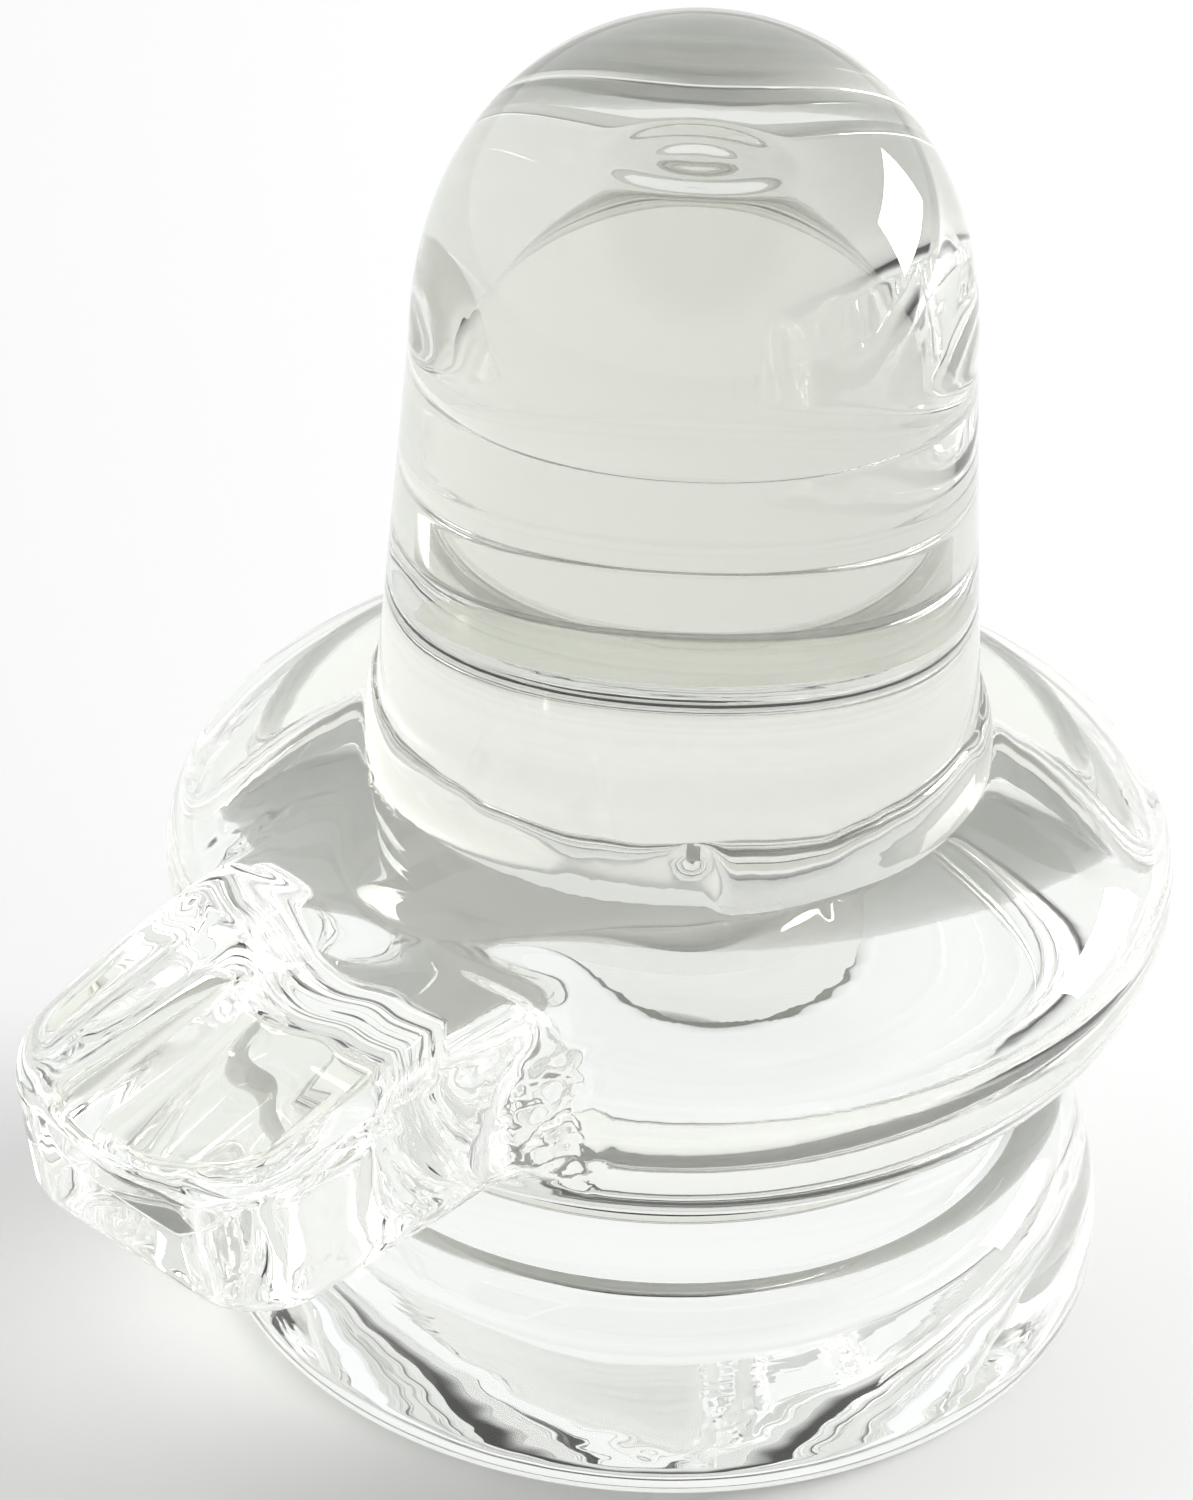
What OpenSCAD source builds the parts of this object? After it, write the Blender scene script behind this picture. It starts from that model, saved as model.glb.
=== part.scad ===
// Clear glass shivling: a domed pillar stands on a round plate with a pouring
// spout, and the plate stands on a short round foot. The three glass castings are
// bonded with clear cement, which shows as a raised bead round each joint.
// Millimetres. The origin is the centre of the foot's resting face, +Z is up, and
// the spout points along -Y.

/* [Pillar] */
// Diameter of the pillar at its lower face
pillar_base_d = 22.2; // [20:0.1:24]
// Diameter of the pillar where its dome starts
pillar_top_d = 20.0; // [18:0.1:20.5]
// Length of the tapered stretch, from the lower face to the dome
pillar_straight_h = 16.2; // [12:0.1:20]
// Height of the dome
dome_h = 11.9; // [9:0.1:13]
// Squareness of the dome: 2 is a true ellipse
dome_power = 2.15; // [1.9:0.05:2.6]

/* [Plate] */
// Largest diameter of the round plate
plate_d = 37.0; // [34:0.5:42]
// Thickness of the plate
plate_h = 11.0; // [9:0.1:13]
// Height of the plate's widest ring above its underside
plate_widest_z = 6.5; // [4.5:0.1:7]
// Radial depth of the plate's rounded rim
rim_depth = 5.8; // [4.5:0.1:6.5]
// Squareness of the rim: 2 is a true ellipse
rim_power = 1.85; // [1.6:0.05:2.5]

/* [Spout] */
// Distance from the pillar's axis to the tip of the spout
spout_reach = 31.4; // [28:0.1:34]
// Width of the spout at the plate's rim
spout_root_w = 14.0; // [11:0.1:15]
// Width of the spout at its tip
spout_tip_w = 12.8; // [10:0.1:14]
// Thickness of the spout at the plate's rim
spout_h = 7.2; // [6:0.1:8]
// Drop of the spout's top face from the rim to the tip
spout_fall = 1.6; // [0.5:0.1:2]
// Width of the channel cut in the spout's top face
channel_w = 5.8; // [4:0.1:7]
// Depth of the channel
channel_depth = 0.9; // [0.5:0.1:1.4]

/* [Foot] */
// Diameter of the foot's flat resting face
foot_rest_d = 32.2; // [30:0.1:32.4]
// Largest diameter of the foot
foot_d = 33.4; // [32.5:0.1:36]
// Height of the foot's widest ring
foot_widest_z = 1.3; // [0.8:0.1:2]
// Height of the foot's rounded shoulder
foot_shoulder_z = 7.5; // [6.5:0.1:8.5]
// Diameter of the neck between the foot and the plate
neck_d = 27.2; // [25:0.1:28.5]
// Height of the neck's upper face
neck_top_z = 10.85; // [10:0.05:12]

/* [Cement] */
// Thickness of the cement film between two castings
film_h = 0.15; // [0.1:0.05:0.3]
// Height of the bead round the pillar
upper_bead_h = 2.3; // [1.5:0.1:3]
// Width of the bead round the pillar, at the plate
upper_bead_w = 0.4; // [0.4:0.1:1.2]
// Height and width of the bead under the plate
lower_bead = 0.7; // [0.4:0.1:1.2]

/* [Hidden] */

$fn = 96;
arc_steps = 14;
past = 1;

// Levels, from the resting face up
plate_z = neck_top_z + film_h;
plate_top_z = plate_z + plate_h;
pillar_z = plate_top_z + film_h;
dome_z = pillar_z + pillar_straight_h;

pillar_base_r = pillar_base_d / 2;
pillar_top_r = pillar_top_d / 2;
plate_r = plate_d / 2;
foot_r = foot_d / 2;
neck_r = neck_d / 2;

// The spout starts inside the plate, under the flat of the plate's top
spout_overlap = 2;
spout_start = plate_r - rim_depth - spout_overlap;
spout_fall_angle = atan(spout_fall / (spout_reach - plate_r));
spout_bottom_z = plate_top_z - spout_h;
spout_tip_round = 4.0;
spout_lower_lean = 1.4;
spout_top_edge_r = 1.2;
spout_bottom_edge_r = 2.2;

// Small cuts that blunt the tip's lower and upper corners
tip_lower_cut_y = 1.2;
tip_lower_cut_z = 0.6;
tip_upper_cut_y = 1.4;
tip_upper_cut_z = 1.4;

// A groove of this radius is channel_w wide at the surface and channel_depth deep
channel_r = (channel_w * channel_w / 4 + channel_depth * channel_depth) / (2 * channel_depth);
channel_start = plate_r + 0.4;

// Squareness of the bead round the pillar, as for the dome and the rim
bead_power = 2.4;

glass = [0.87, 0.87, 0.84, 0.45];
cement = [0.80, 0.80, 0.76, 0.55];

// Points of a squared ellipse round (x, z), from angle a0 to angle a1.
// A power of 2 gives an ellipse, and a larger one squares it off.
function part_power(v, power) = sign(v) * pow(abs(v), 2 / power);
function squared_arc(x, z, rx, rz, power, a0, a1) = [
    for (i = [0 : arc_steps])
        let (a = a0 + (a1 - a0) * i / arc_steps)
        [x + rx * part_power(cos(a), power), z + rz * part_power(sin(a), power)]
];

// Radius of the tapered pillar at a height above the resting face
function pillar_r_at(z) =
    pillar_base_r + (pillar_top_r - pillar_base_r) * (z - pillar_z) / pillar_straight_h;

// Half width of the spout at a distance from the pillar's axis
function spout_half_w(y) =
    (spout_root_w + (spout_tip_w - spout_root_w) * (y - plate_r) / (spout_reach - plate_r)) / 2;

// Solid domed pillar with a flat lower face
module lingam() {
    color(glass)
        rotate_extrude()
            polygon(concat(
                [[0, pillar_z], [pillar_base_r, pillar_z]],
                squared_arc(0, dome_z, pillar_top_r, dome_h, dome_power, 0, 90)
            ));
}

// Round plate with a fat rounded rim
module plate_disc() {
    rim_x = plate_r - rim_depth;
    rim_z = plate_z + plate_widest_z;
    rotate_extrude()
        polygon(concat(
            [[0, plate_top_z], [0, plate_z]],
            squared_arc(rim_x, rim_z, rim_depth, plate_widest_z, rim_power, -90, 0),
            squared_arc(rim_x, rim_z, rim_depth, plate_h - plate_widest_z, rim_power, 0, 90)
        ));
}

// Outline of the spout from above: a tapered tongue with rounded tip corners
module spout_plan() {
    tip_x = spout_half_w(spout_reach) - spout_tip_round;
    tip_y = spout_reach - spout_tip_round;
    polygon(concat(
        [[-spout_half_w(spout_start), spout_start], [spout_half_w(spout_start), spout_start]],
        squared_arc(tip_x, tip_y, spout_tip_round, spout_tip_round, 2, 0, 90),
        squared_arc(-tip_x, tip_y, spout_tip_round, spout_tip_round, 2, 90, 180)
    ));
}

// Outline of the spout from the side: a falling top and a leaning, blunt tip
module spout_side() {
    tip_top_z = plate_top_z - spout_fall;
    polygon([
        [spout_start, spout_bottom_z],
        [spout_reach - spout_lower_lean - tip_lower_cut_y, spout_bottom_z],
        [spout_reach - spout_lower_lean, spout_bottom_z + tip_lower_cut_z],
        [spout_reach, tip_top_z - tip_upper_cut_z],
        [spout_reach - tip_upper_cut_y / 3, tip_top_z - tip_upper_cut_z / 3],
        [spout_reach - tip_upper_cut_y, tip_top_z],
        [plate_r, plate_top_z],
        [spout_start, plate_top_z]
    ]);
}

// Long bar with two rounded edges, which rounds the spout's edges
module edge_bar(edge_r) {
    half_w = spout_half_w(spout_start);
    linear_extrude(height = 2 * spout_reach, center = true)
        union() {
            translate([-half_w + edge_r, -edge_r])
                square([2 * (half_w - edge_r), edge_r]);
            translate([-half_w, -2 * spout_reach])
                square([2 * half_w, 2 * spout_reach - edge_r]);
            for (side = [-1, 1])
                translate([side * (half_w - edge_r), -edge_r])
                    circle(r = edge_r);
        }
}

// Pouring spout, drawn along +Y and turned by the plate
module spout_body() {
    intersection() {
        linear_extrude(height = plate_top_z + past)
            spout_plan();
        translate([-spout_root_w, 0, 0])
            rotate([90, 0, 90])
                linear_extrude(height = 2 * spout_root_w)
                    spout_side();
        translate([0, plate_r, plate_top_z])
            rotate([90 - spout_fall_angle, 0, 0])
                edge_bar(spout_top_edge_r);
        translate([0, 0, spout_bottom_z])
            rotate([-90, 0, 0])
                edge_bar(spout_bottom_edge_r);
    }
}

// Shallow channel along the spout's top face, blind at its inner end
module channel() {
    translate([0, plate_r, plate_top_z])
        rotate([-spout_fall_angle, 0, 0])
            translate([0, channel_start - plate_r, channel_r - channel_depth]) {
                sphere(r = channel_r);
                rotate([-90, 0, 0])
                    cylinder(r = channel_r, h = spout_reach);
            }
}

// Plate and spout, one casting
module yoni_plate() {
    color(glass)
        union() {
            plate_disc();
            rotate([0, 0, 180])
                difference() {
                    spout_body();
                    channel();
                }
        }
}

// Round foot with a rounded shoulder and a short neck
module foot() {
    color(glass)
        rotate_extrude()
            polygon(concat(
                [[0, 0]],
                squared_arc(foot_rest_d / 2, foot_widest_z, foot_r - foot_rest_d / 2,
                    foot_widest_z, 2, -90, 0),
                squared_arc(neck_r, foot_widest_z, foot_r - neck_r,
                    foot_shoulder_z - foot_widest_z, 2.1, 0, 90),
                [[neck_r, neck_top_z], [0, neck_top_z]]
            ));
}

// Cement film under the pillar, and the bead that was squeezed out round it
module upper_cement() {
    bead_top = plate_top_z + upper_bead_h;
    color(cement)
        rotate_extrude()
            polygon(concat(
                [[0, pillar_z], [0, plate_top_z]],
                squared_arc(pillar_r_at(bead_top), plate_top_z,
                    pillar_base_r + upper_bead_w - pillar_r_at(bead_top),
                    upper_bead_h, bead_power, 0, 90),
                [[pillar_base_r, pillar_z]]
            ));
}

// Cement film on the foot's neck, and the bead under the plate
module lower_cement() {
    color(cement)
        rotate_extrude()
            polygon(concat(
                [[0, neck_top_z], [neck_r, neck_top_z]],
                squared_arc(neck_r, plate_z, lower_bead, lower_bead, 2, -90, 0),
                [[0, plate_z]]
            ));
}

lingam();
yoni_plate();
foot();
upper_cement();
lower_cement();
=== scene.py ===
# %% [markdown]
# # A clear glass shivling
# This script dresses a CAD model of a small glass altar ornament. A solid domed pillar
# stands on a round plate with a pouring spout, and the plate stands on a round foot.
# The three are clear glass castings, joined by clear cement. Clear glass has almost no
# look of its own: it shows bent pictures of what is round it. So the work is in three
# things: smooth surfaces with a little hand in them, joints that light can cross as it
# does in the real piece, and a studio that gives the glass something to bend.

# %% Load the CAD model
from math import cos, pi, radians, sin

import bmesh
import bpy
import numpy as np
from mathutils import Matrix, Vector, noise


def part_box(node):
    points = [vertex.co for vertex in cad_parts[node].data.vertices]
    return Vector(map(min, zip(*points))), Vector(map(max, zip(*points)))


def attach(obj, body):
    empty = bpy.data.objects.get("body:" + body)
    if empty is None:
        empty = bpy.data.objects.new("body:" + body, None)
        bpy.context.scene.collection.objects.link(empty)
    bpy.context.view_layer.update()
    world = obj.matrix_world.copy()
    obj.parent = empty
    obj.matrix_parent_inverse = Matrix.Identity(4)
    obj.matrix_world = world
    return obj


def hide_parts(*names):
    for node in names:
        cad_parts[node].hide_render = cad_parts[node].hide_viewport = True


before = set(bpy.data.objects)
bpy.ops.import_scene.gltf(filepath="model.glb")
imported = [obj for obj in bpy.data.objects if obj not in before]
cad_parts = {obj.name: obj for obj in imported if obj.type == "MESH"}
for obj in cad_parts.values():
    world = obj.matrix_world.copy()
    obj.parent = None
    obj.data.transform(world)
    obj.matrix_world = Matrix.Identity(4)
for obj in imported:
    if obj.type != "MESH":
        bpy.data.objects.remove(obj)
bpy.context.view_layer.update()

# %% [markdown]
# The shapes below are worked out in millimetres, because the sizes of a hand-held thing
# are easy to picture in them. Blender's own unit is the metre, so each mesh is scaled
# once, when it is made. The main sizes are read from the CAD model's boxes, so a change
# in CAD carries through to here.

# %% Sizes of the castings, in millimetres
MM = 0.001


def box_mm(node):
    low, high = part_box(node)
    return np.array(low) / MM, np.array(high) / MM


pillar_low, pillar_high = box_mm("lingam")
plate_low, plate_high = box_mm("yoni_plate")
foot_low, foot_high = box_mm("foot")
bead_low, bead_high = box_mm("upper_cement")
skirt_low, skirt_high = box_mm("lower_cement")

pillar_base_r = pillar_high[0]
pillar_z, pillar_top_z = pillar_low[2], pillar_high[2]
plate_r = plate_high[0]
plate_z, plate_top_z = plate_low[2], plate_high[2]
spout_reach = -plate_low[1]
foot_r, neck_top_z = foot_high[0], foot_high[2]
print("pillar", pillar_base_r * 2, "plate", plate_r * 2, "spout", spout_reach, "foot", foot_r * 2)

# The boxes don't hold these, so they repeat the CAD model's own values
pillar_top_r = 10.0
dome_h = 11.9
dome_power = 2.15
rim_widest = 6.5
rim_power = 1.85
under_depth = 5.8
foot_rest_r = 16.1
foot_widest_z = 1.3
foot_shoulder_z = 7.5
foot_power = 2.1
neck_r = 13.6
spout_root_w = 14.0
spout_tip_w = 12.8
spout_h = 7.2
channel_w = 5.8
channel_depth = 0.9
dome_z = pillar_top_z - dome_h

# These are softer or more uneven than in CAD, as in a casting pressed by hand
crown_depth = 8.5
crown_extra = 0.25
spout_fall = 1.7
spout_tilt = 0.3
spout_lift = 0.35

# %% [markdown]
# ## Slow waves in the glass
# The pillar and the foot are round, so each is an outline turned about the upright axis,
# like clay on a wheel. Blender's Screw modifier could do that, but the outline would
# stay perfect all the way round. Real pressed glass isn't: it was soft when it left the
# mould, and the flame that polished it let it sag by a few hundredths of a millimetre.
# Those small waves are what make the lines seen through the glass wander, so each point
# of a casting is pushed in or out by a smooth noise.

# %% A smooth noise, for waves in a surface
def waves(points, size, seed):
    """About -1 to 1 at each point. size is the length of a wave, in millimetres."""
    offset = Vector((seed * 17.3, seed * 5.1, seed * 9.7))
    return np.array([noise.noise(Vector(p) / size + offset) for p in points])


# %% Outlines made of squared ellipses
ROW = 0.15


def squared_arc(x, z, rx, rz, power, start, end):
    """Points along a squared ellipse, from angle start to end, about ROW mm apart."""
    count = max(5, int(radians(abs(end - start)) * (rx + rz) / 2 / ROW))
    angle = np.radians(np.linspace(start, end, count))
    c, s = np.cos(angle), np.sin(angle)
    return np.column_stack([x + rx * np.sign(c) * np.abs(c) ** (2 / power),
                            z + rz * np.sign(s) * np.abs(s) ** (2 / power)])


def straight(a, b):
    """Points along a straight line, about ROW mm apart."""
    count = max(2, int(np.hypot(b[0] - a[0], b[1] - a[1]) / ROW))
    t = np.linspace(0, 1, count)[:, None]
    return np.array(a) * (1 - t) + np.array(b) * t


def joined(*stretches):
    """One outline from several, without the points that repeat."""
    points = np.vstack(stretches)
    far = np.hypot(*np.diff(points, axis=0).T) > 1e-4
    return points[np.concatenate([[True], far])]


# %% Turning an outline into a closed mesh
TURN = 288
turn_angle = np.arange(TURN) * 2 * pi / TURN


def new_piece(name, points_mm, faces):
    mesh = bpy.data.meshes.new(name)
    mesh.from_pydata((np.asarray(points_mm) * MM).tolist(), [], faces)
    piece = bpy.data.objects.new(name, mesh)
    bpy.context.collection.objects.link(piece)
    return piece


def rings_of(outline):
    """The outline's points repeated round the axis, as an array of rings."""
    x = outline[:, :1] * np.cos(turn_angle)
    y = outline[:, :1] * np.sin(turn_angle)
    z = np.repeat(outline[:, 1:], TURN, axis=1)
    return np.stack([x, y, z], -1)


def skinned(name, rings):
    """A closed mesh from rings that run from a point on the axis to another."""
    middle = rings[1:-1]
    points = np.vstack([middle.reshape(-1, 3), rings[0, :1], rings[-1, :1]])
    first, last = len(points) - 2, len(points) - 1
    top = (len(middle) - 1) * TURN
    faces = []
    for i in range(TURN):
        j = (i + 1) % TURN
        faces.append((first, j, i))
        faces.append((last, top + i, top + j))
        for row in range(0, top, TURN):
            faces.append((row + i, row + j, row + TURN + j, row + TURN + i))
    return new_piece(name, points, faces)


def pushed(rings, depth, size, seed):
    """Rings with slow waves of this depth pushed into them, in or out from the axis."""
    flat = rings.reshape(-1, 3).copy()
    radius = np.hypot(flat[:, 0], flat[:, 1])
    flat[:, :2] *= (1 + depth * waves(flat, size, seed) / radius.clip(4))[:, None]
    return flat.reshape(rings.shape)


# %% [markdown]
# ## The bead of cement round the pillar
# When the pillar was pressed down on the plate, clear cement came out all round it and
# set as a raised bead. Its edges are the darkest, crispest lines on the piece, because
# they are where the glass surface turns sharply. The bead isn't even: its top edge
# wanders, and at one place the end of the bead laps over its start.
# Both the pillar and the bead need the same wandering edge, so it is worked out once, as
# a height and a reach for each direction round the axis.

# %% The plate's crown, which the bead sits on
crown_x, crown_h = plate_r - crown_depth, plate_top_z - plate_z - rim_widest + crown_extra


def crown_z(r):
    """Height of the plate's upper surface at this distance from the axis."""
    out = (np.maximum(r - crown_x, 0) / crown_depth).clip(0, 1)
    return plate_z + rim_widest + crown_h * (1 - out ** rim_power) ** (1 / rim_power)


# %% The bead's wandering edges
bead_h = bead_high[2] - plate_top_z
bead_reach = bead_high[0]
LAP_AT = radians(-46)


def round_waves(angle, size, seed):
    """A smooth noise that closes up after a full turn."""
    circle = np.column_stack([np.cos(angle), np.sin(angle), np.zeros_like(angle)])
    return waves(circle, size, seed)


def bead_top(angle):
    """Height of the bead's upper edge on the pillar."""
    wander = 0.35 * round_waves(angle, 0.45, 3) + 0.15 * round_waves(angle, 0.14, 4)
    return plate_top_z + bead_h + 0.25 + wander


def lap(angle):
    """From 1 where the bead's end laps over its start, fading away round the pillar."""
    past = (angle - LAP_AT) % (2 * pi)
    return np.exp(-past / 0.9) * np.clip(past / 0.05, 0, 1)


def at_angle(points, values):
    """One value per direction round the axis, read off at each point's own direction."""
    angle = np.arctan2(points[:, 1], points[:, 0]) % (2 * pi)
    return np.interp(angle, np.append(turn_angle, 2 * pi), np.append(values, values[0]))


def bead_foot(angle):
    """Reach of the bead's lower edge on the plate."""
    return bead_reach - 0.15 + 0.16 * round_waves(angle, 0.3, 5) + 0.5 * lap(angle)


def wall_r(z):
    """Radius of the pillar's tapered wall."""
    return pillar_base_r + (pillar_top_r - pillar_base_r) * (z - pillar_z) / (dome_z - pillar_z)


print("bead height", bead_h, "lowest and highest edge",
      bead_top(turn_angle).min(), bead_top(turn_angle).max())

# %% The pillar
bead_row_z = plate_top_z + bead_h
settled_z = bead_row_z + 4

pillar_outline = joined(
    straight((0, pillar_z), (pillar_base_r, pillar_z)),
    straight((pillar_base_r, pillar_z), (wall_r(bead_row_z), bead_row_z)),
    straight((wall_r(bead_row_z), bead_row_z), (pillar_top_r, dome_z)),
    squared_arc(0, dome_z, pillar_top_r, dome_h, dome_power, 0, 90))

rings = rings_of(pillar_outline)
wall = (pillar_outline[:, 0] > pillar_base_r - 3) & (pillar_outline[:, 1] < settled_z)
wall &= pillar_outline[:, 1] > pillar_z + 1e-4
edge = bead_top(turn_angle)
z = rings[wall][:, :, 2]
lower = (z - pillar_z) / (bead_row_z - pillar_z) * (edge - pillar_z) + pillar_z
upper = settled_z - (settled_z - z) / (settled_z - bead_row_z) * (settled_z - edge)
z = np.where(z <= bead_row_z + 1e-6, lower, upper)
rings[wall] = np.stack([wall_r(z) * np.cos(turn_angle), wall_r(z) * np.sin(turn_angle), z], -1)
rings = pushed(rings, 0.02, 9, 1)

# %% [markdown]
# Two faint steps run across the back wall of the pillar. In pressing, glass sometimes
# stops for a moment as it fills the mould, and each stop leaves a step. Clear glass hides
# a step seen square on, but a steep little wall turns light away, so the eye gets a thin
# dark line with a bright one beside it. Each step is a dent with a low ridge above it.

# %% Steps on the pillar's back wall
BACK_AT = 127
STEP_WIDTH = 0.22
RIDGE_RISE = 0.75
RIDGE_WIDTH = 0.3
behind = np.cos(turn_angle - radians(BACK_AT)).clip(0, 1) ** 0.5
for step_z, step_depth in [(31.7, 0.12), (27.3, 0.08)]:
    z = rings[..., 2]
    dent = step_depth * np.exp(-((z - step_z) / STEP_WIDTH) ** 2)
    ridge = 0.5 * step_depth * np.exp(-((z - step_z - RIDGE_RISE) / RIDGE_WIDTH) ** 2)
    radius = np.hypot(rings[..., 0], rings[..., 1]).clip(1)
    rings[..., :2] *= (1 - (dent - ridge) * behind * (radius > 5) / radius)[..., None]

# %% [markdown]
# The front of the dome has a shallow oval press mark with a raised middle. It is measured
# along two directions that lie in the surface, one level and one downhill.

# %% The press mark on the dome
mark_at = np.array([3.2, -4.55, 48.55])
mark_angle = radians(-55)
mark_slope = radians(36)
mark_depth, core_height = 0.13, 0.05
level = np.array([-sin(mark_angle), cos(mark_angle), 0])
outward = np.array([cos(mark_angle) * sin(mark_slope), sin(mark_angle) * sin(mark_slope),
                    cos(mark_slope)])
downhill = np.cross(outward, level)
u = (rings - mark_at) @ level
v = (rings - mark_at) @ downhill
oval = (u / 3.1) ** 2 + (v / 1.15) ** 2
core = (u / 1.3) ** 2 + (v / 0.4) ** 2
mark = mark_depth * np.exp(-oval ** 3) - core_height * np.exp(-core ** 2)
rings -= outward * (mark * (rings[..., 2] > dome_z))[..., None]
pillar = skinned("lingam_glass", rings)
print("pillar points:", len(pillar.data.vertices))

# %% The bead and the film under the pillar
bead_rows = np.linspace(0, pi / 2, 14)
bead_swell = 2.4
seat_r = bead_reach - 1
inner = rings_of(straight((0, plate_top_z), (seat_r, plate_top_z)))
foot_reach, edge_r = bead_foot(turn_angle), wall_r(edge)
outer = []
for t in bead_rows:
    out = cos(t) ** (2 / bead_swell)
    up = sin(t) ** (2 / bead_swell)
    r = edge_r + (foot_reach - edge_r) * out
    h = crown_z(foot_reach) + (edge - crown_z(foot_reach)) * up
    outer.append(np.stack([r * np.cos(turn_angle), r * np.sin(turn_angle), h], -1))

# A small bubble burst at the bead's surface and left a pit
outer = np.array(outer)
PIT_ANGLE, PIT_REACH, PIT_Z = radians(-49), 11.4, 24.2
PIT_DEPTH, PIT_WIDTH = 0.5, 0.4
pit_at = np.array([PIT_REACH * cos(PIT_ANGLE), PIT_REACH * sin(PIT_ANGLE), PIT_Z])
from_pit = np.linalg.norm(outer[1:-1] - pit_at, axis=2)
pit = PIT_DEPTH * np.exp(-(from_pit / PIT_WIDTH) ** 2)
outer[1:-1, :, :2] *= (1 - pit / np.hypot(outer[1:-1, :, 0], outer[1:-1, :, 1]))[..., None]
back = []
for t in np.linspace(0, 1, 8)[1:]:
    h = edge + (pillar_z - edge) * t
    back.append(np.stack([wall_r(h) * np.cos(turn_angle), wall_r(h) * np.sin(turn_angle), h], -1))
film = rings_of(straight((pillar_base_r, pillar_z), (0, pillar_z)))[1:]
bead = skinned("upper_bead", np.concatenate([inner, outer, back, film]))
print("bead points:", len(bead.data.vertices))

# %% [markdown]
# ## The foot
# The foot is turned in the same way. Its resting edge has a small round, because a hot
# casting never fills a sharp corner, and its neck carries the thin lower bead.

# %% The foot
skirt_h = plate_z - skirt_low[2]
skirt_z = plate_z - skirt_h
foot_outline = joined(
    straight((0, 0), (foot_rest_r, 0)),
    squared_arc(foot_rest_r, foot_widest_z, foot_r - foot_rest_r, foot_widest_z, 2, -90, 0),
    squared_arc(neck_r, foot_widest_z, foot_r - neck_r, foot_shoulder_z - foot_widest_z,
                foot_power, 0, 90),
    straight((neck_r, foot_shoulder_z), (neck_r, skirt_z)),
    straight((neck_r, skirt_z), (neck_r, neck_top_z)),
    straight((neck_r, neck_top_z), (0, neck_top_z)))
foot_rings = rings_of(foot_outline)
foot_rings[foot_outline[:, 1] > 0.2] = pushed(foot_rings[foot_outline[:, 1] > 0.2], 0.02, 8, 7)
foot = skinned("foot_glass", foot_rings)

# %% The film and the small bead under the plate
skirt_outline = joined(
    straight((0, neck_top_z), (neck_r, neck_top_z)),
    straight((neck_r, neck_top_z), (neck_r, skirt_z)),
    squared_arc(neck_r, plate_z, skirt_high[0] - neck_r, skirt_h, 2, -90, 0),
    straight((skirt_high[0], plate_z), (0, plate_z)))
skirt = skinned("lower_bead", rings_of(skirt_outline))
print("foot points:", len(foot.data.vertices), "lower bead points:", len(skirt.data.vertices))

# %% [markdown]
# ## The plate and its spout
# The plate isn't round all the way: the spout grows out of it. Turning can't make that,
# and a boolean of two meshes would leave long thin faces that spoil a glass surface. So
# the shape is written as a distance: for any point in space, how far it is outside the
# glass. Distances are easy to join: the smaller of two is their union, and a soft
# smaller-of-two leaves a fillet. A copy of the CAD plate is cut into small even faces by
# a voxel remesh, and each point is then slid onto the place where the distance is zero.

# %% Distance to the round plate
# Toward the spout the crown stays high for longer, so it runs level into the spout
rim_z = plate_z + rim_widest
FAN_ANGLE = radians(25)
FAN_AMOUNT = 0.75


def plate_distance(p):
    z = p[:, 2] - rim_z
    half_h = np.where(z > 0, crown_h, rim_widest)
    fan = FAN_AMOUNT * np.exp(-(np.arctan2(p[:, 0], -p[:, 1]) / FAN_ANGLE) ** 2)
    depth = np.where(z > 0, crown_depth * (1 - fan), under_depth)
    out = np.maximum(np.hypot(p[:, 0], p[:, 1]) - (plate_r - depth), 0)
    size = ((out / depth) ** rim_power + (np.abs(z) / half_h) ** rim_power) ** (1 / rim_power)
    return np.hypot(out, z) * (1 - 1 / size.clip(1e-6))


# %% Distance to the spout
tip_round = 3.2
edge_round = 1.1
tip_lean = 1.4
tip_skew = 0.1
spout_start = 12.5
spout_free = 17.6
root_sink = 1.4
root_fillet = 1.6
lip_fillet = 0.8


def soft_min(a, b, fillet):
    h = np.clip(0.5 + 0.5 * (b - a) / fillet, 0, 1)
    return b * (1 - h) + a * h - fillet * h * (1 - h)


def rounded(a, b, radius):
    """Distance to a shape that two distances bound, with the edge between them rounded."""
    a, b = a + radius, b + radius
    return np.hypot(np.maximum(a, 0), np.maximum(b, 0)) + np.minimum(np.maximum(a, b), 0) - radius


def spout_distance(p):
    across, along, z = p[:, 0], -p[:, 1], p[:, 2]
    t = (along - plate_r) / (spout_reach - plate_r)
    half_w = (spout_root_w + (spout_tip_w - spout_root_w) * t) / 2
    free = np.clip((along - spout_start) / (spout_free - spout_start), 0, 1)
    free = free * free * (3 - 2 * free)
    past_rim = np.clip(t, 0, 1.2)
    fallen = spout_lift - spout_fall * past_rim ** 1.7 + spout_tilt * past_rim * across / half_w
    sunk = crown_z(np.hypot(across, along).clip(0, 17)) - root_sink
    top = (plate_top_z + fallen) * free + sunk * (1 - free)
    bottom = plate_top_z - spout_h
    end = spout_reach - tip_lean * np.clip((top - z) / spout_h, 0, 1) - tip_skew * (half_w - across)
    plan = rounded(np.abs(across) - half_w, along - end, tip_round)
    height = np.maximum(np.maximum(z - top, bottom - z), spout_start - along)
    groove_r = (channel_w ** 2 / 4 + channel_depth ** 2) / (2 * channel_depth)
    short = np.maximum(plate_r + 0.4 - along, 0)
    groove = np.sqrt(across ** 2 + short ** 2 + (z - top - groove_r + channel_depth) ** 2) - groove_r
    return -soft_min(-rounded(plan, height, edge_round), groove, lip_fillet)


def casting_distance(p):
    return soft_min(plate_distance(p), spout_distance(p), root_fillet)


# %% A fine, even mesh slid onto that distance
FINE = 0.24


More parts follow.
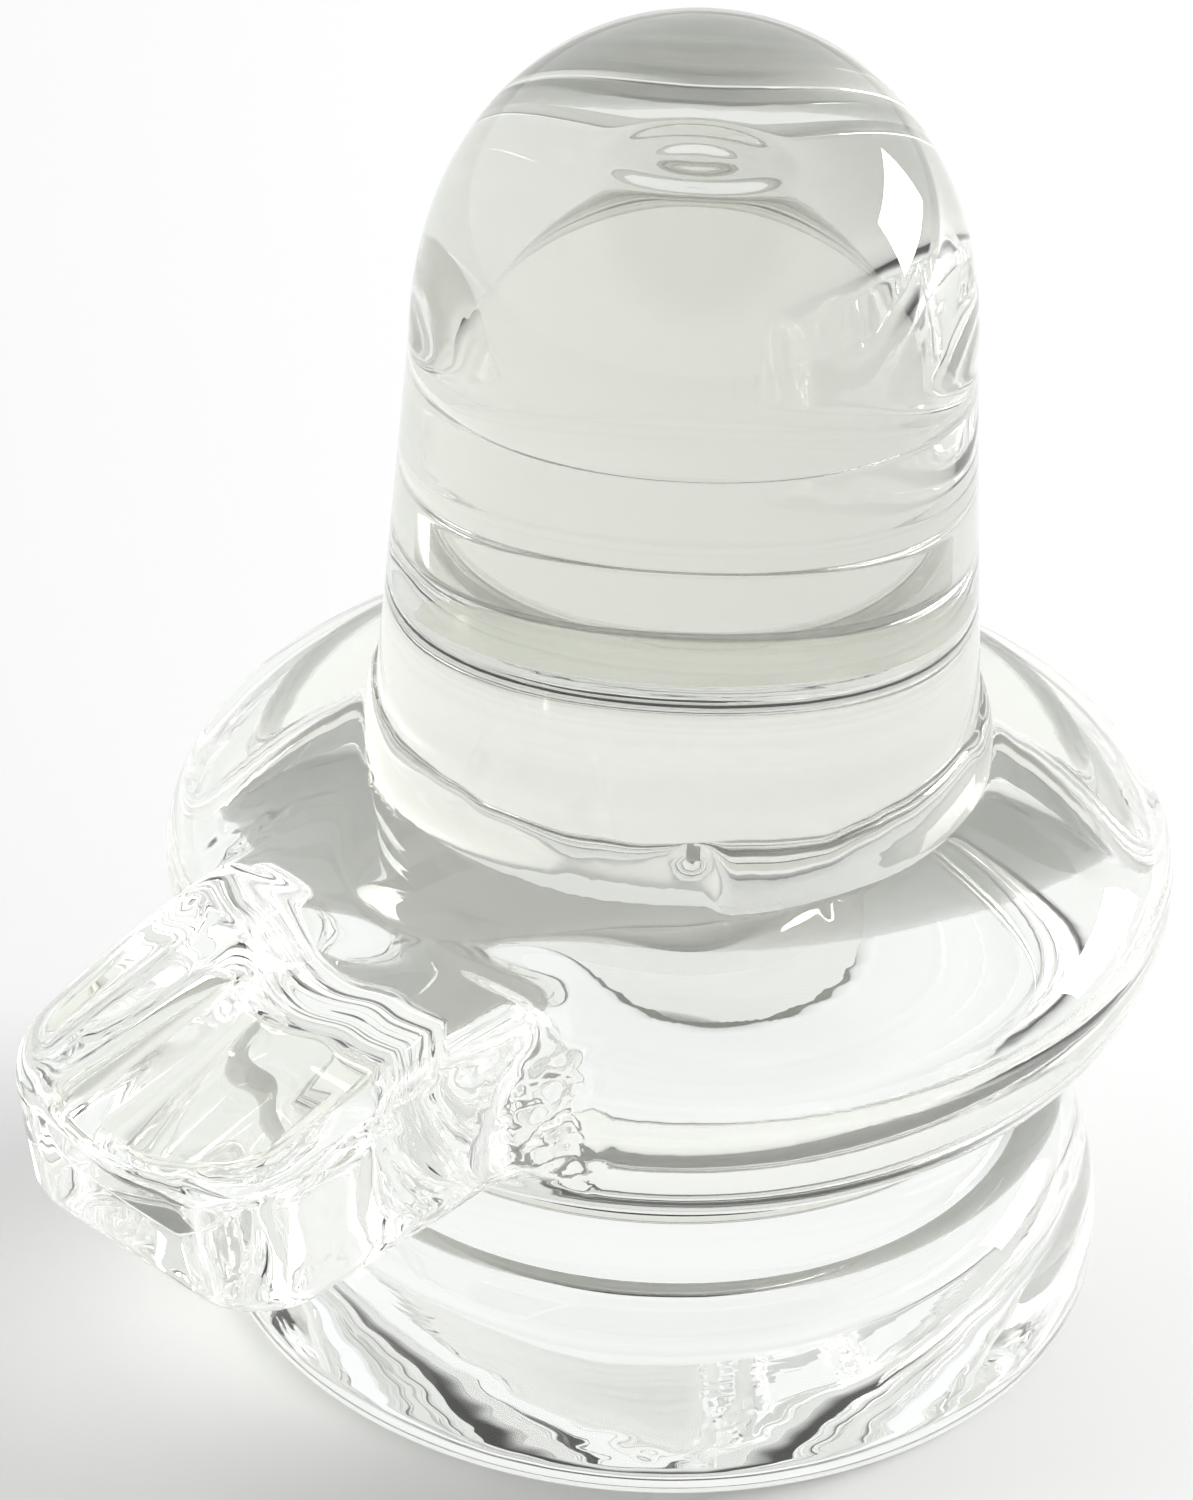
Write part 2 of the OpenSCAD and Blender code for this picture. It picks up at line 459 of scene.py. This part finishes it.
def slid_on(points, distance, rounds=6):
    """Points moved along the slope of a distance until it is zero."""
    h = 0.01
    for _ in range(rounds):
        d = distance(points)
        slope = np.stack([distance(points + step) - distance(points - step)
                          for step in np.eye(3) * h], -1) / (2 * h)
        points = points - slope * (d / (slope ** 2).sum(1).clip(0.25))[:, None]
    return points


plate_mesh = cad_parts["yoni_plate"].data.copy()
plate = bpy.data.objects.new("yoni_plate_glass", plate_mesh)
bpy.context.collection.objects.link(plate)
remesh = plate.modifiers.new("even_faces", "REMESH")
remesh.mode = "VOXEL"
remesh.voxel_size = FINE * MM
bpy.context.view_layer.update()
fine = bpy.data.meshes.new_from_object(plate.evaluated_get(bpy.context.evaluated_depsgraph_get()))
plate.modifiers.clear()
plate.data = fine
points = np.array([v.co for v in fine.vertices]) / MM
points = slid_on(points, casting_distance)
print("plate points:", len(points), "furthest from the surface:",
      round(float(np.abs(casting_distance(points)).max()), 4), "mm")

# %% [markdown]
# Where hot glass first touched the cold mould, beside the spout's root, its skin froze and
# crinkled. Such chill marks are real relief, so they are pushed into the mesh: a cell
# pattern, and through the right-hand one a narrow crevice, which is steep enough to look
# dark. The rest of the plate gets slow waves like the other castings.

# %% Waves and rough chill marks on the plate
CELL = 0.75
CRINKLE = 0.65
CREVICE_WIDTH, CREVICE_DEPTH = 0.35, 0.9


def near(points, place, size):
    """1 at a place, falling smoothly to 0 at about size mm from it."""
    return np.exp(-(((points - place) / size) ** 2).sum(1))


root_x = spout_root_w / 2
root_y = -np.sqrt(plate_r ** 2 - root_x ** 2)
right_mark = near(points, (root_x + 1.0, root_y - 0.2, plate_top_z - 4.0), (1.3, 1.8, 2.6))
left_mark = near(points, (-root_x - 1.2, root_y + 1.5, plate_top_z - 1.6), (2.4, 3.2, 2.2))
rough = np.maximum(right_mark, 0.14 * left_mark)
cells = np.array([noise.voronoi(Vector(p) / CELL)[0][0] for p in points]) - 0.4
away = points - np.array([0, 0, rim_z])
away /= np.linalg.norm(away, axis=1)[:, None]
on_spout = np.clip((-points[:, 1] - plate_r + 1) / 4, 0, 1)
push = 0.03 * waves(points, 8, 11) + 0.012 * on_spout * waves(points, 3.2, 12)
push += CRINKLE * rough.clip(0, 1) * cells
crevice_at = points[:, 0] - root_x - 1.5 - 0.35 * waves(points, 1.1, 13)
push -= CREVICE_DEPTH * np.exp(-(crevice_at / CREVICE_WIDTH) ** 2) * right_mark
push[np.hypot(points[:, 0], points[:, 1]) < bead_reach + 1] = 0
points += away * push[:, None]

# Under the bead and the pillar the plate is a flat seat, which the cement fills to
point_r = np.hypot(points[:, 0], points[:, 1])
bead_r = at_angle(points, foot_reach)
rise = ((point_r - seat_r) / (bead_r - seat_r)).clip(0, 1)
seat_z = plate_top_z + (crown_z(bead_r) - plate_top_z) * rise
on_seat = (point_r < bead_r) & (points[:, 2] > rim_z)
points[on_seat, 2] = seat_z[on_seat]
fine.vertices.foreach_set("co", (points * MM).ravel())

# %% [markdown]
# ## Faces that are bonded
# Where a casting is bonded, light passes straight from glass to cement to glass, because
# the cement bends light as much as the glass does. In the real piece you can't see those
# faces at all. So each casting has two kinds of face: bare faces with a glass material,
# and bonded faces with a clear one that changes nothing. The pillar's edge already
# follows the bead. The plate's fine mesh doesn't, so new edges are cut along the bead.

# %% Cutting new edges where a value is zero
def cut_along(piece, value):
    """New edges where value is zero: the mesh is sliced in a space where value is x."""
    bm = bmesh.new()
    bm.from_mesh(piece.data)
    place = bm.verts.layers.float_vector.new("place")
    values = value(np.array([v.co for v in bm.verts]) / MM)
    for v, amount in zip(bm.verts, values):
        v[place] = v.co
        v.co = (amount * MM, v.co.y, v.co.z)
    everything = bm.verts[:] + bm.edges[:] + bm.faces[:]
    bmesh.ops.bisect_plane(bm, geom=everything, dist=1e-9, plane_co=(0, 0, 0), plane_no=(1, 0, 0))
    for v in bm.verts:
        v.co = v[place]
    bm.verts.layers.float_vector.remove(place)
    bm.to_mesh(piece.data)
    bm.free()


def past_bead(p):
    """Negative on the plate's top inside the bead's lower edge."""
    inside = np.hypot(p[:, 0], p[:, 1]) - at_angle(p, foot_reach)
    return np.where(p[:, 2] > rim_z, inside, 1)


def past_skirt(p):
    """Negative on the plate's underside inside the lower bead."""
    return np.where(p[:, 2] < rim_z, np.hypot(p[:, 0], p[:, 1]) - skirt_high[0], 1)


cut_along(plate, past_bead)
cut_along(plate, past_skirt)
print("plate faces after the cuts:", len(plate.data.polygons))

# %% [markdown]
# ## Materials
# All three castings are soda-lime glass, pressed in a mould and fire-polished: a flame
# melts the skin smooth, so there is no roughness at all and edges of light stay crisp.
# The colour of clear glass is very weak. It comes from traces of iron, and it shows only
# because light crosses the surfaces many times. The pillar is the thickest, so it has the
# strongest tint. Colours are sRGB hex values, which one function turns to linear.

# %% Colours and nodes
def linear(hex_colour):
    """A linear colour from an sRGB hex value."""
    parts = [int(hex_colour[i:i + 2], 16) / 255 for i in (1, 3, 5)]
    return [p / 12.92 if p <= 0.04045 else ((p + 0.055) / 1.055) ** 2.4 for p in parts] + [1]


def add(tree, kind, inputs=(), **settings):
    """A node with its settings, and its inputs set or linked."""
    node = tree.nodes.new(kind)
    for name, value in settings.items():
        setattr(node, name, value)
    for name, value in dict(inputs).items():
        if isinstance(value, bpy.types.NodeSocket):
            tree.links.new(value, node.inputs[name])
        else:
            node.inputs[name].default_value = value
    return node


def new_material(name):
    material = bpy.data.materials.new(name)
    material.use_nodes = True
    material.node_tree.nodes.clear()
    return material, material.node_tree


# %% Pressed glass
def pressed_glass(name, tint, ior, roughness, wave_mm, depth):
    material, tree = new_material(name)
    where = add(tree, "ShaderNodeTexCoord").outputs["Object"]
    wave = add(tree, "ShaderNodeTexNoise", {"Vector": where, "Scale": 1 / (wave_mm * MM),
                                           "Detail": 2.0, "Roughness": 0.4})
    bump = add(tree, "ShaderNodeBump", {"Height": wave.outputs[0], "Strength": 1.0,
                                       "Distance": depth * MM})
    glass = add(tree, "ShaderNodeBsdfPrincipled", {
        "Base Color": linear(tint), "Transmission Weight": 1.0, "IOR": ior,
        "Roughness": roughness, "Normal": bump.outputs[0]})
    add(tree, "ShaderNodeOutputMaterial", {"Surface": glass.outputs[0]})
    return material


# One index for all the glass and cement, so that a bond bends nothing. Soda-lime glass is
# near 1.52; this is a little higher, and makes the bent images sit right.
GLASS_IOR = 1.55
# Fire-polished glass: no haze, and a skin that sags in waves too low to feel
pillar_glass = pressed_glass("fire_polished_soda_glass", "#DADBD3", GLASS_IOR, 0.0, 6.0, 0.01)
# The plate and the foot are thinner, so they look whiter
plate_glass = pressed_glass("pressed_soda_glass_plate", "#F4F5EF", GLASS_IOR, 0.0, 5.0, 0.01)
foot_glass = pressed_glass("pressed_soda_glass_foot", "#F6F7F3", GLASS_IOR, 0.0, 5.0, 0.01)
# Cured clear cement: a little warmer than glass, with tighter waves from setting by hand
cement_glass = pressed_glass("cured_acrylic_cement", "#D0D1C9", GLASS_IOR, 0.0, 1.5, 0.01)


# %% Bonded faces
def bonded(name):
    material, tree = new_material(name)
    clear = add(tree, "ShaderNodeBsdfTransparent", {"Color": (1, 1, 1, 1)})
    add(tree, "ShaderNodeOutputMaterial", {"Surface": clear.outputs[0]})
    return material


bonded_face = bonded("index_matched_bond")


def dress(piece, materials, choose):
    """Gives each face the material that choose names for the middle of that face."""
    mesh = piece.data
    mesh.materials.clear()
    for material in materials:
        mesh.materials.append(material)
    middle = np.array([p.center for p in mesh.polygons]) / MM
    index = choose(middle).astype(np.int32)
    mesh.polygons.foreach_set("material_index", index)
    mesh.polygons.foreach_set("use_smooth", np.ones(len(index), bool))
    mesh.set_sharp_from_angle(angle=radians(50))
    mesh.update()
    print(piece.name, "faces per material:", np.bincount(index).tolist())


dress(pillar, [pillar_glass, bonded_face], lambda p: p[:, 2] < at_angle(p, edge))
dress(foot, [foot_glass, bonded_face], lambda p: p[:, 2] > skirt_z)
dress(plate, [plate_glass, bonded_face],
      lambda p: (past_bead(p) < 0) | (past_skirt(p) < 0))


def on_bead_skin(p):
    r = np.hypot(p[:, 0], p[:, 1])
    on_plate = np.abs(p[:, 2] - plate_top_z) < 1e-3
    under_pillar = (np.abs(p[:, 2] - pillar_z) < 1e-3) & (r < pillar_base_r)
    film_face = on_plate | under_pillar
    return film_face | (r < wall_r(p[:, 2]) + 0.002)


dress(bead, [cement_glass, bonded_face], on_bead_skin)
dress(skirt, [cement_glass, bonded_face],
      lambda p: ~((np.hypot(p[:, 0], p[:, 1]) > neck_r + 0.002) & (p[:, 2] < plate_z - 1e-3)))

# %% Each piece stands for its CAD node
for piece, node, slot in [
        (pillar, "lingam", "pillar_glass"), (plate, "yoni_plate", "plate_glass"),
        (foot, "foot", "foot_glass"), (bead, "upper_cement", "cement"),
        (skirt, "lower_cement", "cement")]:
    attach(piece, "root")
    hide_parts(node)

# %% [markdown]
# ## The studio
# Glass is lit by what surrounds it. This is called bright-field lighting: pale
# walls all round and one darker patch above the camera's side. Edges of the glass pick up
# the dark patch as thin lines, and everything else stays light. The floor is pale paper.

# %% Floor
floor_mesh = bpy.data.meshes.new("floor")
half = 3.0
FLOOR_GAP = 0.00002
floor_mesh.from_pydata([(-half, -half, 0), (half, -half, 0), (half, half, 0), (-half, half, 0)],
                       [], [(0, 1, 2, 3)])
floor = bpy.data.objects.new("floor", floor_mesh)
bpy.context.collection.objects.link(floor)
paper, tree = new_material("white_paper_sweep")
sheet = add(tree, "ShaderNodeBsdfPrincipled", {"Base Color": linear("#F4F4F2"), "Roughness": 0.7})
add(tree, "ShaderNodeOutputMaterial", {"Surface": sheet.outputs[0]})
floor_mesh.materials.append(paper)
floor.location.z = -FLOOR_GAP

# %% World
CAMERA_AZIMUTH = 37.0


def direction(azimuth, elevation):
    """A unit vector. Azimuth 0 is the spout's side, and 90 is the +X side."""
    a, e = radians(azimuth), radians(elevation)
    return Vector((sin(a) * cos(e), -cos(a) * cos(e), sin(e)))


world = bpy.data.worlds.new("studio")
bpy.context.scene.world = world
world.use_nodes = True
world.node_tree.nodes.clear()
WALLS, NEAR_SIDE = 1.16, 0.03
PATCH_EDGE, PATCH_CORE = 47, 26
near_side = direction(CAMERA_AZIMUTH, 56)
way = add(world.node_tree, "ShaderNodeTexCoord").outputs["Generated"]
facing = add(world.node_tree, "ShaderNodeVectorMath", {0: way, 1: near_side},
             operation="DOT_PRODUCT")
wall = add(world.node_tree, "ShaderNodeMapRange", {
    "Value": facing.outputs["Value"],
    "From Min": cos(radians(PATCH_EDGE)), "From Max": cos(radians(PATCH_CORE)),
    "To Min": WALLS, "To Max": NEAR_SIDE}, interpolation_type="SMOOTHSTEP")
sky = add(world.node_tree, "ShaderNodeBackground", {
    "Color": linear("#F2F3F5"), "Strength": wall.outputs["Result"]})
add(world.node_tree, "ShaderNodeOutputWorld", {"Surface": sky.outputs[0]})


# %% [markdown]
# One soft lamp stands in for a window. Its reflection is the bright mark on the dome.

# %% Lights
def softbox(name, azimuth, elevation, distance, width, height, power):
    lamp = bpy.data.lights.new(name, "AREA")
    lamp.shape = "RECTANGLE"
    lamp.size, lamp.size_y, lamp.energy = width, height, power
    box = bpy.data.objects.new(name, lamp)
    bpy.context.collection.objects.link(box)
    box.location = direction(azimuth, elevation) * distance
    box.rotation_euler = (-direction(azimuth, elevation)).to_track_quat("-Z", "Y").to_euler()
    return box


softbox("window", CAMERA_AZIMUTH + 112, 17, 0.5, 0.26, 0.15, 3.2)

# %% [markdown]
# ## The camera
# It stands close, a little above the piece and to one side of the spout. The small extra
# turns frame the piece as a hand-held camera would.

# %% Camera
CAMERA_ELEVATION = 36.644
CAMERA_DISTANCE = 0.24824
camera_data = bpy.data.cameras.new("camera")
camera_data.sensor_fit = "VERTICAL"
camera_data.sensor_height = 24
camera_data.lens = 103.66
camera_data.clip_start = 0.01
camera = bpy.data.objects.new("camera", camera_data)
bpy.context.collection.objects.link(camera)
stand = direction(CAMERA_AZIMUTH, CAMERA_ELEVATION)
aim = (-stand).to_track_quat("-Z", "Y").to_matrix().to_4x4()
turned_a_little = (Matrix.Rotation(radians(0.694), 4, "Y") @ Matrix.Rotation(radians(4.156), 4, "X")
                   @ Matrix.Rotation(radians(2.70), 4, "Z"))
camera.matrix_world = Matrix.Translation(stand * CAMERA_DISTANCE) @ aim @ turned_a_little
bpy.context.scene.camera = camera

# %% [markdown]
# Light bounces inside solid glass many times before it finds a way out. With the usual
# few bounces those paths are cut short and turn black, so the limits are raised.

# %% Light paths
cycles = bpy.context.scene.cycles
cycles.max_bounces = 48
cycles.glossy_bounces = 48
cycles.transmission_bounces = 48
cycles.transparent_max_bounces = 64
bpy.context.scene.view_settings.view_transform = "Standard"
